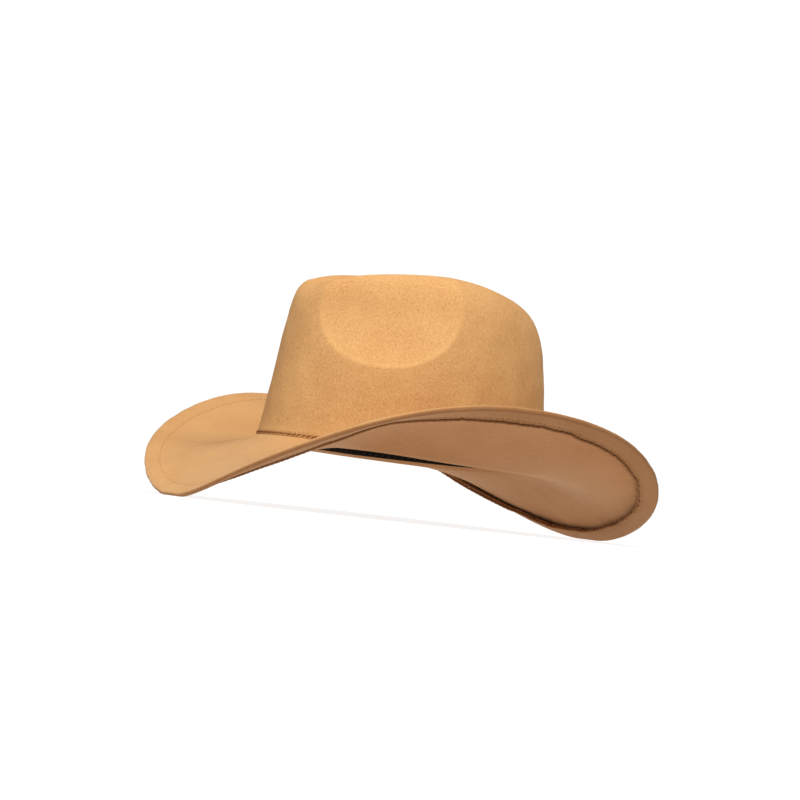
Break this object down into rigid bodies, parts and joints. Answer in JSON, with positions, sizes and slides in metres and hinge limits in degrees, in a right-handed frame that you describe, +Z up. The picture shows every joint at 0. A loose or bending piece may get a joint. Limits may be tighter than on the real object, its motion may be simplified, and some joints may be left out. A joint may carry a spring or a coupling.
{
  "type": "costume cowboy hat",
  "caption": "Tan felt cowboy hat with a creased and side-dented crown, a brim rolled up at the sides with its edge turned under, and a black band inside",
  "frame": {"origin": "on the surface that the hat rests on, under the middle of its bounding box", "axes": "+Z up through the crown; the hat's front faces -Y, so its length lies along Y; +X is the wearer's left"},
  "size_m": [0.3174, 0.3376, 0.1628],
  "materials": {
    "felt": "matt pressed felt, tan",
    "felt_brim": "matt pressed felt, tan, smoother",
    "band_cloth": "black woven band"
  },
  "bodies": {
    "root": {"crown": "felt", "brim": "felt_brim", "sweatband": "band_cloth"}
  },
  "joints": []
}
